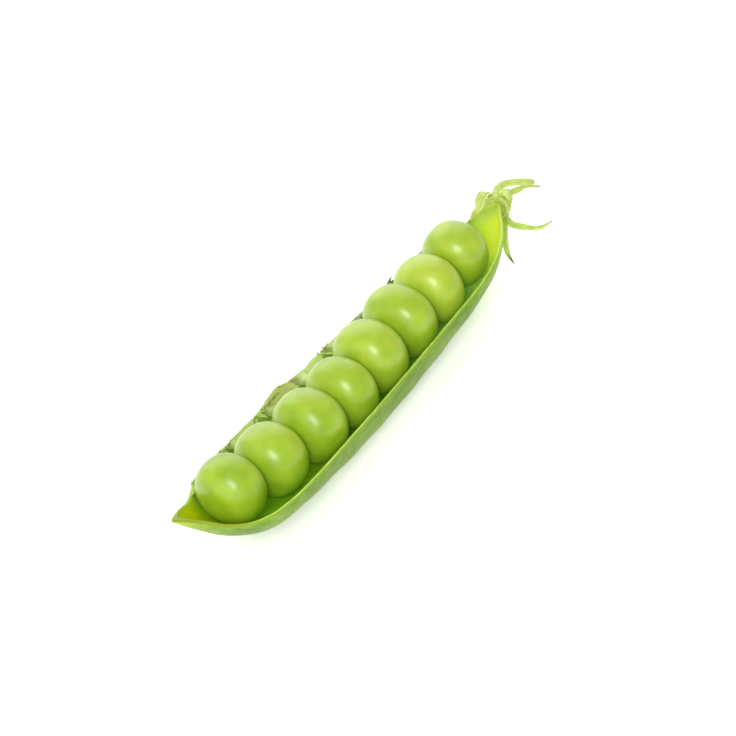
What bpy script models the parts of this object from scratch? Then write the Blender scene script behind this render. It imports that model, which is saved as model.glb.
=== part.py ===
"""A garden pea pod, split along its ventral suture and laid open on a table.

One valve of the pod lies on its rounded back with a row of eight peas in it. The peas hang from the
fibrous strand that runs along the ventral rim, each by a short stalk. The calyx with its five sepals
and a piece of the pedicel are still on the stem end.

The object is modelled in the pod's own frame: X runs from the beak to the stem, Y from the dorsal
rim to the ventral rim, and Z up. Everything hangs from one empty, which then moves so that the
middle of the footprint is the origin and the pod stands on Z = 0.
"""

import math
from random import Random

import bmesh
import bpy
from mathutils import Vector

MM = 0.001
# Points nearer to each other than this are one point.
WELD = 1e-7
# Edges sharper than this stay sharp in the shading.
CREASE = math.radians(50)

# The row of peas, from the beak to the stem: (radius across the pod, half length along it, how far
# it sits to the ventral side of the row's line, and how far below it). A press of 2 would make each
# outline an ellipse, and more makes it squarer, with flatter ends.
PEAS = (
    (5.14 * MM, 3.85 * MM, 0.1 * MM, 0.1 * MM),
    (5.36 * MM, 4.15 * MM, 0.0 * MM, 0.4 * MM),
    (5.60 * MM, 4.05 * MM, -0.1 * MM, 0.4 * MM),
    (5.48 * MM, 3.72 * MM, 0.2 * MM, 0.5 * MM),
    (5.72 * MM, 4.10 * MM, 0.7 * MM, 0.2 * MM),
    (5.78 * MM, 3.80 * MM, 0.65 * MM, 0.1 * MM),
    (5.46 * MM, 3.75 * MM, 0.25 * MM, 0.3 * MM),
    (5.02 * MM, 3.85 * MM, 0.0 * MM, 0.1 * MM),
)
PEA_GAP = 0.3 * MM
ROW_START = -28.74 * MM
PEA_PRESS = 2.35
PEA_SEGMENTS = 24
PEA_RINGS = 13

# The pod bends a little: both ends rise, and the row of peas swings toward the ventral rim.
BEND_REACH = 27 * MM
BEND_RISE = 1.2 * MM
BEND_RISE_LIMIT = 2.4 * MM
ROW_SWING = 1.35 * MM
ROW_SWING_STEM = 1.05 * MM

# The valve's outline seen from above, from its widest place to the neck:
# (place along the pod, dorsal rim, ventral rim, depth under the rims).
OUTLINE = (
    (-34.0 * MM, -8.4 * MM, 5.6 * MM, 6.2 * MM),
    (-32.3 * MM, -8.4 * MM, 6.3 * MM, 6.6 * MM),
    (-30.7 * MM, -8.4 * MM, 7.2 * MM, 6.9 * MM),
    (-29.0 * MM, -8.4 * MM, 8.0 * MM, 6.9 * MM),
    (-24.0 * MM, -8.4 * MM, 8.5 * MM, 6.8 * MM),
    (-12.0 * MM, -7.7 * MM, 9.0 * MM, 7.1 * MM),
    (2.0 * MM, -7.1 * MM, 8.8 * MM, 7.0 * MM),
    (14.0 * MM, -6.8 * MM, 8.1 * MM, 6.7 * MM),
    (24.0 * MM, -6.7 * MM, 7.4 * MM, 6.2 * MM),
    (30.0 * MM, -5.5 * MM, 6.7 * MM, 5.5 * MM),
    (34.0 * MM, -3.8 * MM, 4.7 * MM, 3.7 * MM),
    (37.0 * MM, -1.9 * MM, 3.5 * MM, 2.1 * MM),
    (39.0 * MM, -0.4 * MM, 3.1 * MM, 1.5 * MM),
    (41.2 * MM, 0.7 * MM, 2.7 * MM, 1.3 * MM),
)
BLUNT_START = -24.0 * MM
BLUNT_END = -36.8 * MM
BLUNT_SIDE = 3.4 * MM
BLUNT_DORSAL_POWER = 3.4
BLUNT_DEPTH_POWER = 2.0
BLUNT_VENTRAL_START = -34.0 * MM
BLUNT_VENTRAL_POWER = 2.0
NECK_CLOSES = 1.5 * MM
NECK_END = 41.2 * MM
NECK_SIDE = 1.7 * MM
NECK_POWER = 2.0
KEEL_POWER = 1.15
HALF_WIDTH = 8 * MM
WALL = 0.85 * MM
RIM_WALL = 0.65 * MM
RIM_LIP = 0.15 * MM
RIM_DROP = 0.15 * MM
RIM_FALL = 0.04
RIM_TWIST = 0.8
RIM_LEVEL_SIDE = -7.0 * MM
PEA_SWELL = 0.3 * MM
SWELL_SPREAD = 0.62
BEAK = Vector((-2.4, 0.1, 1.4)) * MM
BEAK_REACH = 4.6 * MM
FLAT_CUT = 0.25 * MM
KEEL_SAMPLES = 200
VALVE_STATIONS = 60
OUTER_FACES = 18
INNER_FACES = 14

# The fibrous strand on the ventral rim and the stalk of each pea.
STRAND_RADIUS = 0.36 * MM
STRAND_START = -32.5 * MM
STRAND_END = 32.0 * MM
STRAND_POINTS = 34
STRAND_GAP = 0.3 * MM
STRAND_TIP = 0.7
STRAND_TAPER = 0.4
STALK_RADIUS = 0.5 * MM
STALK_LEAN = 1.0 * MM
STALK_SEED = 11
# Each stalk, from inside the strand to its pea: (share of the way, share of the radius).
STALK_FORM = ((-0.05, 0.75), (0.5, 0.7), (1.0, 1.0))

# The calyx: a cup round the end of the neck, and five sepals on its rim.
CUP_SIDE = 1.6 * MM
CUP_HEIGHT = 1.1 * MM
CUP_MOUTH = 40.2 * MM
CUP_SLANT = 0.6 * MM
CUP_OUTER = 2.15 * MM
CUP_FLATNESS = 0.78
CUP_WALL = 0.6 * MM
CUP_FLOOR = 41.6 * MM
CUP_BACK = 43.2 * MM
CUP_BACK_RADIUS = 0.85 * MM
CUP_BACK_SHIFT = Vector((0.0, 1.0, 1.1)) * MM
CUP_FACES = 20
# The cup's half section, from the middle of its floor, out over the mouth and round to the middle of
# its back: (radius, place along the pod, slant).
CUP_PROFILE = (
    (0.0, CUP_FLOOR, 0.0),
    (CUP_OUTER - 1.9 * CUP_WALL, CUP_FLOOR, 0.0),
    (CUP_OUTER - CUP_WALL, CUP_FLOOR - CUP_WALL, 0.0),
    (CUP_OUTER - CUP_WALL, CUP_MOUTH, CUP_SLANT),
    (CUP_OUTER, CUP_MOUTH, CUP_SLANT),
    (CUP_OUTER, CUP_FLOOR - CUP_WALL, 0.0),
    (0.85 * CUP_OUTER, CUP_FLOOR + 0.5 * CUP_WALL, 0.0),
    (1.35 * CUP_BACK_RADIUS, (CUP_FLOOR + 2 * CUP_BACK) / 3, 0.0),
    (CUP_BACK_RADIUS, CUP_BACK, 0.0),
    (0.0, CUP_BACK, 0.0),
)
# Each sepal: (name, the midrib from its root to its tip, half width, the way across the blade).
SEPALS = (
    ("sepal_top", ((41.1, 1.2, 2.35), (41.4, 0.9, 3.3), (41.35, 0.1, 3.95), (40.85, -0.9, 3.85),
                   (40.05, -1.6, 3.35), (39.25, -1.9, 2.75)),
     1.0, (0.88, -0.48, 0.0)),
    ("sepal_far", ((41.3, 0.4, 1.85), (42.4, -0.1, 2.9), (43.4, -0.8, 3.1), (44.4, -1.5, 2.9),
                   (45.4, -2.2, 2.4), (46.3, -2.8, 2.0)),
     0.8, (0.53, 0.85, 0.0)),
    ("sepal_dorsal", ((40.7, 0.1, 0.4), (39.8, -0.8, -0.1), (39.25, -2.4, -0.55), (39.7, -4.7, -0.8),
                      (40.5, -6.3, -0.65), (41.5, -7.6, -0.1)),
     0.85, (0.05, 0.28, -0.96)),
    ("sepal_under", ((40.8, 0.8, 0.05), (39.5, 0.2, -0.4), (38.0, -0.7, -1.2), (37.0, -1.4, -2.5),
                     (36.4, -2.0, -4.1), (36.2, -3.1, -5.7)),
     0.85, (0.55, -0.81, -0.2)),
    ("sepal_ventral", ((41.2, 2.9, 1.9), (41.3, 3.2, 2.6), (40.4, 3.3, 3.0), (39.1, 3.2, 2.7),
                       (37.9, 2.7, 2.5), (36.6, 2.8, 2.6), (35.2, 2.5, 2.4), (34.2, 2.4, 2.3)),
     1.0, (0.1, 1.0, 0.1)),
)
SEPAL_THICKNESS = 0.6 * MM
# How far a blade's edges curl up, per metre, for the square of their distance from the midrib.
SEPAL_CUPPING = 350.0
# A blade is this share of its width at the root, has its full width after a share of its length, and
# then narrows to a point. It thins only near its tip.
SEPAL_ROOT = 0.6
SEPAL_WIDENS_BY = 0.25
SEPAL_THINNING = 5
MIDRIB_STEP = 0.02
SEPAL_ROWS = 14
SEPAL_CROSS = 10

# The piece of pedicel that stays on the calyx. It is thickest at its root and narrows over the first
# part of its length.
PEDICEL_RADIUS = 0.58 * MM
PEDICEL_ROOT = 1.2
PEDICEL_NARROWING = 0.3
PEDICEL_NARROWS_BY = 0.65
PEDICEL_ROUTE = (
    (43.55, 2.75, 2.3),
    (44.4, 2.6, 2.4),
    (45.5, 1.9, 2.15),
    (46.8, 0.8, 1.65),
    (48.1, -0.5, 0.95),
)
PEDICEL_POINTS = 12

# Linear colour and roughness of each surface.
POD_GREEN = (0.155, 0.34, 0.045), 0.45
PEA_GREEN = (0.36, 0.60, 0.055), 0.30
STRAND_PALE = (0.50, 0.58, 0.20), 0.60
CALYX_GREEN = (0.40, 0.57, 0.09), 0.55


def clear_scene():
    """Removes whatever the file holds."""
    for old in list(bpy.data.objects):
        bpy.data.objects.remove(old)


def new_collection(name):
    """Makes a collection in the scene."""
    collection = bpy.data.collections.new(name)
    bpy.context.scene.collection.children.link(collection)
    return collection


def green(name, colour, roughness):
    """A plant surface of one colour."""
    material = bpy.data.materials.new(name)
    material.use_nodes = True
    shader = material.node_tree.nodes["Principled BSDF"]
    shader.inputs["Base Color"].default_value = (*colour, 1.0)
    shader.inputs["Roughness"].default_value = roughness
    shader.inputs["Metallic"].default_value = 0.0
    material.diffuse_color = (*colour, 1.0)
    return material


def mesh_object(name, bm, material, collection):
    """Turns a bmesh into a smooth-shaded object with one material."""
    bm.normal_update()
    bmesh.ops.recalc_face_normals(bm, faces=bm.faces)
    mesh = bpy.data.meshes.new(name)
    bm.to_mesh(mesh)
    bm.free()
    mesh.materials.append(material)
    mesh.shade_smooth()
    mesh.set_sharp_from_angle(angle=CREASE)
    obj = bpy.data.objects.new(name, mesh)
    collection.objects.link(obj)
    return obj


def closed_skin(rows, columns, place):
    """A grid rolled into a closed body. place(u, k) gives the point of row share u and column k,
    the last column meets the first, and each end row closes on itself."""
    bm = bmesh.new()
    bmesh.ops.create_grid(bm, x_segments=rows, y_segments=columns, size=1.0)
    for vertex in bm.verts:
        u = (vertex.co.x + 1.0) / 2.0
        k = round((vertex.co.y + 1.0) / 2.0 * columns) % columns
        vertex.co = place(u, k)
    bmesh.ops.remove_doubles(bm, verts=bm.verts, dist=WELD)
    return bm


def smooth_between(knots, x):
    """The value at x of a smooth curve through knots, a list of (x, value) in rising order of x."""
    if x <= knots[0][0]:
        return knots[0][1]
    if x >= knots[-1][0]:
        return knots[-1][1]
    i = max(j for j in range(len(knots) - 1) if knots[j][0] <= x)

    def slope(j):
        low, high = max(j - 1, 0), min(j + 1, len(knots) - 1)
        return (knots[high][1] - knots[low][1]) / (knots[high][0] - knots[low][0])

    (x0, y0), (x1, y1) = knots[i], knots[i + 1]
    h = x1 - x0
    t = (x - x0) / h
    return (
        y0 * (1 + 2 * t) * (1 - t) ** 2
        + slope(i) * h * t * (1 - t) ** 2
        + y1 * t**2 * (3 - 2 * t)
        + slope(i + 1) * h * t**2 * (t - 1)
    )


def curve_through(points, share):
    """The point at a share of the way along a smooth curve through the points."""
    steps = [float(i) for i in range(len(points))]
    at = share * (len(points) - 1)
    return Vector([smooth_between(list(zip(steps, axis)), at) for axis in zip(*points)])


def rise(x):
    """How far the bend lifts the middle plane of the pod at x."""
    return min(BEND_RISE * (x / BEND_REACH) ** 2, BEND_RISE_LIMIT)


def pea_centres():
    """The centre of each pea. They sit close together along the bent line of the row."""
    centres = []
    x = ROW_START - PEAS[0][1]
    for _, half, aside, below in PEAS:
        x += half
        centres.append(Vector((x, row_side(x) + aside, rise(x) - below)))
        x += half + PEA_GAP
    return centres


def row_side(x):
    """How far the row of peas swings toward the ventral rim at x."""
    swing = ROW_SWING if x < 0 else ROW_SWING_STEM
    return swing * min(1.1, (x / BEND_REACH) ** 2)


def swell(x):
    """How far the sides stand out over the peas at x."""
    return PEA_SWELL * sum(
        math.exp(-(((x - centre.x) / (SWELL_SPREAD * pea[1])) ** 2))
        for centre, pea in zip(pea_centres(), PEAS)
    )


def blunt(share, power):
    """The width left at a share of the way into the rounded front end."""
    return max(0.0, 1.0 - min(share, 1.0) ** power) ** (1.0 / power)


def valve_outline(x, inset):
    """The dorsal rim, the ventral rim and the depth of the valve at x, each moved in by the wall."""
    dorsal, ventral, depth = (
        smooth_between([(row[0], row[i]) for row in OUTLINE], x) for i in (1, 2, 3)
    )
    dorsal += inset * RIM_WALL
    ventral -= inset * RIM_WALL
    depth -= inset * WALL
    if x < BLUNT_START:
        end = BLUNT_END + inset * WALL
        share = (BLUNT_START - x) / (BLUNT_START - end)
        dorsal = BLUNT_SIDE + (dorsal - BLUNT_SIDE) * blunt(share, BLUNT_DORSAL_POWER)
        depth *= blunt(share, BLUNT_DEPTH_POWER)
        share = max(0.0, (BLUNT_VENTRAL_START - x) / (BLUNT_VENTRAL_START - end))
        ventral = BLUNT_SIDE + (ventral - BLUNT_SIDE) * blunt(share, BLUNT_VENTRAL_POWER)
    closing = NECK_END - inset * WALL - NECK_CLOSES
    if x > closing:
        left = blunt((x - closing) / NECK_CLOSES, NECK_POWER)
        dorsal = NECK_SIDE + (dorsal - NECK_SIDE) * left
        ventral = NECK_SIDE + (ventral - NECK_SIDE) * left
        depth *= left
    return dorsal, ventral, depth


def rim_height(x, y):
    """The height of the rims' plane: nearly level with the peas at the dorsal rim, lower at the
    ventral."""
    return rise(x) - RIM_DROP - (RIM_FALL + RIM_TWIST * x) * (y - RIM_LEVEL_SIDE)


def valve_skin_point(share, angle, inset):
    """A point of the outer (inset 0) or inner (inset 1) skin. angle runs from 0 at the dorsal rim,
    under the keel, to pi at the ventral rim."""
    front = BLUNT_END + inset * WALL
    back = NECK_END - inset * WALL
    x = front + (back - front) * share
    dorsal, ventral, depth = valve_outline(x, inset)
    middle, half = (dorsal + ventral) / 2, (ventral - dorsal) / 2
    under = max(0.0, math.sin(angle))
    y = middle - (half + swell(x) * under) * math.cos(angle)
    y += (row_side(x) - middle) * under**2 * min(1.0, half / HALF_WIDTH)
    below = depth * under**KEEL_POWER
    return Vector((x, y, rim_height(x, y) - below))


def valve_columns():
    """Round the section: (angle, inset, lift of the lip) over the outer skin, the ventral lip, the
    inner skin and the dorsal lip."""
    outer = [(math.pi * i / OUTER_FACES, 0.0, 0.0) for i in range(OUTER_FACES + 1)]
    inner = [(math.pi * (1 - i / INNER_FACES), 1.0, 0.0) for i in range(INNER_FACES + 1)]
    return outer + [(math.pi, 0.5, RIM_LIP)] + inner + [(0.0, 0.5, RIM_LIP)]


def make_valve(material, collection):
    """The boat-shaped half of the pod, with its beak and its neck, and a small flat to lie on."""
    columns = valve_columns()
    beak_root = valve_skin_point(0.0, 0.0, 0.0)
    keel = min(
        valve_skin_point(i / KEEL_SAMPLES, math.pi / 2, 0.0).z for i in range(KEEL_SAMPLES + 1)
    )

    def place(u, k):
        share = (1 - math.cos(math.pi * u)) / 2
        angle, inset, lip = columns[k]
        outer = valve_skin_point(share, angle, 0.0)
        inner = valve_skin_point(share, angle, 1.0)
        point = outer.lerp(inner, inset)
        point.z += lip
        pull = max(0.0, 1 - (point - beak_root).length / BEAK_REACH) ** 2
        point += BEAK * pull
        point.z = max(point.z, keel + FLAT_CUT)
        return point

    bm = closed_skin(VALVE_STATIONS, len(columns), place)
    return mesh_object("valve", bm, material, collection)


def make_pea(name, centre, radius, half, material, collection):
    """One pea: round across the pod, and pressed flatter where it meets its neighbours."""
    bm = bmesh.new()
    bmesh.ops.create_uvsphere(bm, u_segments=PEA_SEGMENTS, v_segments=PEA_RINGS, radius=1.0)
    for vertex in bm.verts:
        along = math.copysign(abs(vertex.co.z) ** (2 / PEA_PRESS), vertex.co.z)
        width = math.hypot(vertex.co.x, vertex.co.y) ** (2 / PEA_PRESS)
        around = math.atan2(vertex.co.y, vertex.co.x)
        vertex.co = (half * along, radius * width * math.cos(around), radius * width * math.sin(around))
    pea = mesh_object(name, bm, material, collection)
    pea.location = centre
    return pea


def tube(name, points, radii, sides, collection, material):
    """A smooth poly curve with round caps, as a welded mesh."""
    data = bpy.data.curves.new(name, "CURVE")
    data.dimensions = "3D"
    data.bevel_depth = 1.0
    data.bevel_resolution = sides
    data.use_fill_caps = True
    spline = data.splines.new("POLY")
    spline.points.add(len(points) - 1)
    for knot, point, radius in zip(spline.points, points, radii):
        knot.co = (*point, 1.0)
        knot.radius = radius
    curve = bpy.data.objects.new(name, data)
    collection.objects.link(curve)
    graph = bpy.context.evaluated_depsgraph_get()
    mesh = bpy.data.meshes.new_from_object(curve.evaluated_get(graph))
    bm = bmesh.new()
    bm.from_mesh(mesh)
    bmesh.ops.remove_doubles(bm, verts=bm.verts, dist=WELD)
    bpy.data.objects.remove(curve)
    bpy.data.meshes.remove(mesh)
    return mesh_object(name, bm, material, collection)


def union_of(body, additions):
    """Joins the collection's objects into the body with one Boolean, and removes them."""
    joining = body.modifiers.new("join", "BOOLEAN")
    joining.operation = "UNION"
    joining.operand_type = "COLLECTION"
    joining.collection = additions
    joining.solver = "EXACT"
    joining.use_self = True
    graph = bpy.context.evaluated_depsgraph_get()
    joined = bpy.data.meshes.new_from_object(body.evaluated_get(graph))
    body.modifiers.clear()
    body.data = joined
    for old in list(additions.objects):
        bpy.data.objects.remove(old)
    bpy.data.collections.remove(additions)
    return body


def strand_point(x):
    """The middle of the strand at x: it lies on top of the ventral rim."""
    _, ventral, _ = valve_outline(x, 0.0)
    y = ventral - RIM_WALL / 2
    return Vector((x, y, rim_height(x, y) + RIM_LIP + STRAND_GAP + STRAND_RADIUS))


def make_strand(material, collection):
    """The fibre that strings the ventral suture, with the stalk of each pea grown out of it."""
    random = Random(STALK_SEED)
    span = STRAND_END - STRAND_START
    shares = [i / (STRAND_POINTS - 1) for i in range(STRAND_POINTS)]
    points = [strand_point(STRAND_START + span * s) for s in shares]
    swelling = [abs(math.sin(math.pi * s)) ** STRAND_TAPER for s in shares]
    radii = [STRAND_RADIUS * (STRAND_TIP + (1 - STRAND_TIP) * share) for share in swelling]
    strand = tube("seed_strand", points, radii, 2, collection, material)
    stalks = new_collection("stalks")
    for number, (centre, pea) in enumerate(zip(pea_centres(), PEAS), 1):
        root = strand_point(centre.x + random.uniform(0.2, 1.0) * STALK_LEAN)
        tip = centre + (root - centre).normalized() * (pea[0] + STRAND_GAP)
        points = [root.lerp(tip, share) for share, _ in STALK_FORM]
        radii = [STALK_RADIUS * share for _, share in STALK_FORM]
        tube(f"stalk_{number}", points, radii, 1, stalks, material)
    return union_of(strand, stalks)


def sepal(name, midrib, half_width, across, material, collection):
    """A narrow pointed leaf round its midrib, a little cupped, with a rounded edge."""
    points = [Vector(point) * MM for point in midrib]

    def place(u, k):
        along = curve_through(points, u)
        ahead = curve_through(points, min(1.0, u + MIDRIB_STEP))
        ahead -= curve_through(points, max(0.0, u - MIDRIB_STEP))
        ahead.normalize()
        side = Vector(across) - ahead * ahead.dot(Vector(across))
        side.normalize()
        up = side.cross(ahead)
        angle = 2 * math.pi * k / SEPAL_CROSS
        body = 1.0 if 0.0 < u < 1.0 else 0.0
        widening = SEPAL_ROOT + (1 - SEPAL_ROOT) * min(1.0, u / SEPAL_WIDENS_BY)
        width = body * half_width * MM * widening * (1.0 - u**2)
        thick = body * SEPAL_THICKNESS / 2 * math.sqrt(1.0 - u**SEPAL_THINNING)
        reach = math.cos(angle) * width
        return along + side * reach + up * (math.sin(angle) * thick + SEPAL_CUPPING * reach**2)

    bm = closed_skin(SEPAL_ROWS, SEPAL_CROSS, place)
    return mesh_object(name, bm, material, collection)


def make_calyx(material, collection):
    """The green cup that the pod's neck ends in, with a slanting mouth, and its sepals grown on."""

    def place(u, k):
        radius, x, slant = CUP_PROFILE[round(u * (len(CUP_PROFILE) - 1))]
        angle = -2 * math.pi * k / CUP_FACES
        behind = max(0.0, (x - CUP_FLOOR) / (CUP_BACK - CUP_FLOOR))
        flatness = CUP_FLATNESS + (1 - CUP_FLATNESS) * behind
        up = math.sin(angle)
        along = x + slant * up
        aside = CUP_SIDE + radius * math.cos(angle)
        height = CUP_HEIGHT + radius * flatness * up
        return Vector((along, aside, height)) + CUP_BACK_SHIFT * behind

    bm = closed_skin(len(CUP_PROFILE) - 1, CUP_FACES, place)
    cup = mesh_object("calyx", bm, material, collection)
    sepals = new_collection("sepals")
    for name, midrib, half_width, across in SEPALS:
        sepal(name, midrib, half_width, across, material, sepals)
    return union_of(cup, sepals)


def make_pedicel(material, collection):
    """The cut piece of flower stalk behind the calyx."""
    route = [Vector(point) * MM for point in PEDICEL_ROUTE]
    shares = [i / (PEDICEL_POINTS - 1) for i in range(PEDICEL_POINTS)]
    points = [curve_through(route, share) for share in shares]
    narrowed = [math.sin(math.pi / 2 * min(1.0, share / PEDICEL_NARROWS_BY)) for share in shares]
    radii = [PEDICEL_RADIUS * (PEDICEL_ROOT - PEDICEL_NARROWING * share) for share in narrowed]
    return tube("pedicel", points, radii, 3, collection, material)


def set_on_table(parts):
    """Hangs the parts from an empty, and moves it so that the footprint's middle is the origin."""
    corners = [part.matrix_basis @ vertex.co for part in parts for vertex in part.data.vertices]
    low = Vector([min(corner[axis] for corner in corners) for axis in range(3)])
    high = Vector([max(corner[axis] for corner in corners) for axis in range(3)])
    root = bpy.data.objects.new("pod_root", None)
    bpy.context.scene.collection.objects.link(root)
    for part in parts:
        part.parent = root
    root.location = (-(low.x + high.x) / 2, -(low.y + high.y) / 2, -low.z)


def main():
    clear_scene()
    pod = new_collection("pea_pod")
    skin_green = green("pod_green", *POD_GREEN)
    pea_green = green("pea_green", *PEA_GREEN)
    strand_green = green("strand_pale", *STRAND_PALE)
    calyx_green = green("calyx_green", *CALYX_GREEN)
    parts = [make_valve(skin_green, pod)]
    for number, (centre, pea) in enumerate(zip(pea_centres(), PEAS), 1):
        parts.append(make_pea(f"pea_{number}", centre, pea[0], pea[1], pea_green, pod))
    parts.append(make_strand(strand_green, pod))
    parts.append(make_calyx(calyx_green, pod))
    parts.append(make_pedicel(calyx_green, pod))
    set_on_table(parts)


main()
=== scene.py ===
"""A garden pea pod, split open: one half of the pod wall with its row of peas, the seed strand, the
leafy calyx and a bit of stalk.

Every piece is laid out in the pod's own frame, in millimetres: X from the beak to the stem, Y from
the dorsal rim to the ventral rim, and Z up.
"""

import math
from random import Random

import bmesh
import bpy
from mathutils import Matrix, Vector, noise


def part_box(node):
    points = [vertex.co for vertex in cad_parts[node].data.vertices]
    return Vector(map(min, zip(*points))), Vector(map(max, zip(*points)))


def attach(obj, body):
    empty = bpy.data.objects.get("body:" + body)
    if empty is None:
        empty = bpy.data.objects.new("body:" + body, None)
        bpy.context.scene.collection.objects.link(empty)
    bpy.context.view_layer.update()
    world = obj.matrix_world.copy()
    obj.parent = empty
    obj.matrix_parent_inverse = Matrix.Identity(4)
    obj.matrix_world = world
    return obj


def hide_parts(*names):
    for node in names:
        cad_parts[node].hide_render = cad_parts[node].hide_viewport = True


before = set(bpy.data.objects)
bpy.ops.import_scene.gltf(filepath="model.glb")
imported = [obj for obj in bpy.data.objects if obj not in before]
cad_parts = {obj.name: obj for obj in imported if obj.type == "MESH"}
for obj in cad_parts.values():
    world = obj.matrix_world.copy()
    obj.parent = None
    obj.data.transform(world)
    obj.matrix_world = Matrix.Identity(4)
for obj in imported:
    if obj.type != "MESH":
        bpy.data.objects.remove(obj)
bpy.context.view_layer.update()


# ---------------------------------------------------------------------------------------- the peas
# Eight fresh garden peas, full of water and a little translucent, with a thin smooth seed coat.
# They grew packed in a row, so each is round across the pod and pressed flatter where it meets
# the next one. Each hangs by a short stalk, which leaves a pale oval scar on the seed coat.

# Of each pea: its radius across the pod, half its length along it, how far it sits to the ventral
# side of the row's line, how far below it, and how far its green goes toward yellow.
PEAS = (
    (5.14, 3.85, 0.1, 0.1, 0.08),
    (5.36, 4.15, 0.0, 0.4, 0.2),
    (5.60, 4.05, -0.1, 0.4, 0.16),
    (5.48, 3.72, 0.2, 0.5, 0.22),
    (5.72, 4.10, 0.7, 0.2, 0.28),
    (5.78, 3.80, 0.65, 0.1, 0.24),
    (5.46, 3.75, 0.25, 0.3, 0.42),
    (5.02, 3.85, 0.0, 0.1, 0.26),
)
PEA_GAP = 0.3
ROW_START = -28.74
BEND_REACH = 27.0
BEND_RISE = 1.2
BEND_RISE_LIMIT = 2.4
ROW_SWING = 1.35
ROW_SWING_STEM = 1.05
ROW_SWING_LIMIT = 1.1
# A press of 2 would make each outline an ellipse, and more makes it squarer.
PRESSED = 2.35
PEA_SIDES = 72
PEA_RINGS = 48
PEA_DENT = 0.09
PEA_DENT_WIDTH = 5.0
# Each pea takes its dents this much farther on in the noise.
PEA_DENT_STEP = 7.0
SCAR_NARROW = 1.7
SCAR_WIDTH = 0.7
SCAR_DEPTH = 0.10
SCAR_REACH = 3.0


def rise(x):
    """How far the bend of the pod lifts its middle plane at x."""
    return min(BEND_RISE * (x / BEND_REACH) ** 2, BEND_RISE_LIMIT)


def row_side(x):
    """How far the row of peas swings toward the ventral rim at x."""
    swing = ROW_SWING if x < 0 else ROW_SWING_STEM
    return swing * min(ROW_SWING_LIMIT, (x / BEND_REACH) ** 2)


def row_of_centres():
    """The middle of each pea, from the beak to the stem."""
    middles = []
    x = ROW_START - PEAS[0][1]
    for _, half, aside, below, _ in PEAS:
        x += half
        middles.append(Vector((x, row_side(x) + aside, rise(x) - below)))
        x += half + PEA_GAP
    return middles


CENTRES = row_of_centres()
# From the pod's frame in millimetres to the row's in metres, by the place of the first pea.
low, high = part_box("pea_1")
TO_FRAME = Matrix.Translation((low + high) / 2) @ Matrix.Scale(0.001, 4) @ Matrix.Translation(-CENTRES[0])


def linear(hex_colour):
    """An sRGB hex colour as linear RGBA."""
    parts = [int(hex_colour[i : i + 2], 16) / 255 for i in (1, 3, 5)]
    return (*[c / 12.92 if c <= 0.04045 else ((c + 0.055) / 1.055) ** 2.4 for c in parts], 1.0)


def new_material(name):
    """An empty node material and its node tree."""
    material = bpy.data.materials.new(name)
    material.use_nodes = True
    material.node_tree.nodes.clear()
    return material, material.node_tree


def add(tree, kind, settings, sockets):
    """Adds a node. A socket takes a plain value, a hex colour, or (node, output) to link it."""
    node = tree.nodes.new(kind)
    for name, value in settings.items():
        setattr(node, name, value)
    for name, value in sockets.items():
        if isinstance(value, tuple) and isinstance(value[0], bpy.types.Node):
            tree.links.new(value[0].outputs[value[1]], node.inputs[name])
        else:
            node.inputs[name].default_value = linear(value) if isinstance(value, str) else value
    return node


def object_place(tree):
    """The point of the piece, in metres."""
    return add(tree, "ShaderNodeTexCoord", {}, {}), "Object"


def marks(tree):
    """The mark that the shape gave each point, and a node with its three numbers."""
    mark = add(tree, "ShaderNodeAttribute", {"attribute_name": "mark"}, {}), "Vector"
    return mark, add(tree, "ShaderNodeSeparateXYZ", {}, {"Vector": mark})


def stretched(tree, where, scale, turn=0.0):
    """A point scaled on each axis, and turned about Z by degrees."""
    sockets = {"Vector": where, "Rotation": (0.0, 0.0, math.radians(turn)), "Scale": scale}
    return add(tree, "ShaderNodeMapping", {}, sockets), "Vector"


def cloud(tree, where, scale, detail):
    """A node of soft noise. A scale of 1 / n makes its patches n units wide."""
    return add(tree, "ShaderNodeTexNoise", {}, {"Vector": where, "Scale": scale, "Detail": detail})


def maths(tree, operation, *values):
    """Arithmetic on numbers."""
    return add(tree, "ShaderNodeMath", {"operation": operation}, dict(enumerate(values))), "Value"


def fade(tree, value, begins, ends, least, most, way="SMOOTHSTEP"):
    """A number that goes from least, where the value is begins, to most, where it is ends."""
    span = {"From Min": begins, "From Max": ends, "To Min": least, "To Max": most}
    return add(tree, "ShaderNodeMapRange", {"interpolation_type": way}, {"Value": value, **span}), "Result"


def ramp(tree, value, *stops):
    """The colour that a value picks from stops, which are (place, hex colour)."""
    node = add(tree, "ShaderNodeValToRGB", {}, {"Fac": value})
    elements = node.color_ramp.elements
    while len(elements) < len(stops):
        elements.new(1.0)
    for element, (place, colour) in zip(elements, stops):
        element.position = place
        element.color = linear(colour)
    return node, "Color"


# The sockets of a Mix node that works on colours.
FACTOR, FIRST, SECOND, MIXED = 0, 6, 7, 2


def blend(tree, factor, first, second, way="MIX"):
    """Two colours mixed by a factor."""
    sockets = {FACTOR: factor, FIRST: first, SECOND: second}
    return add(tree, "ShaderNodeMix", {"data_type": "RGBA", "blend_type": way}, sockets), MIXED


def turning(tree, colour, into, value, begins, ends, most):
    """A colour that turns into another as a value goes from begins to ends, by the share most."""
    return blend(tree, fade(tree, value, begins, ends, 0.0, most), colour, into)


def relief(tree, height, strength, distance):
    """Bumps in the surface. Their distance is in metres."""
    sockets = {"Strength": strength, "Distance": distance, "Height": height}
    return add(tree, "ShaderNodeBump", {}, sockets), "Normal"


def finish_material(tree, **sockets):
    """The last two nodes: a Principled shader and the output."""
    named = {name.replace("_", " "): value for name, value in sockets.items()}
    shader = add(tree, "ShaderNodeBsdfPrincipled", {}, named)
    add(tree, "ShaderNodeOutputMaterial", {}, {"Surface": (shader, "BSDF")})


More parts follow.
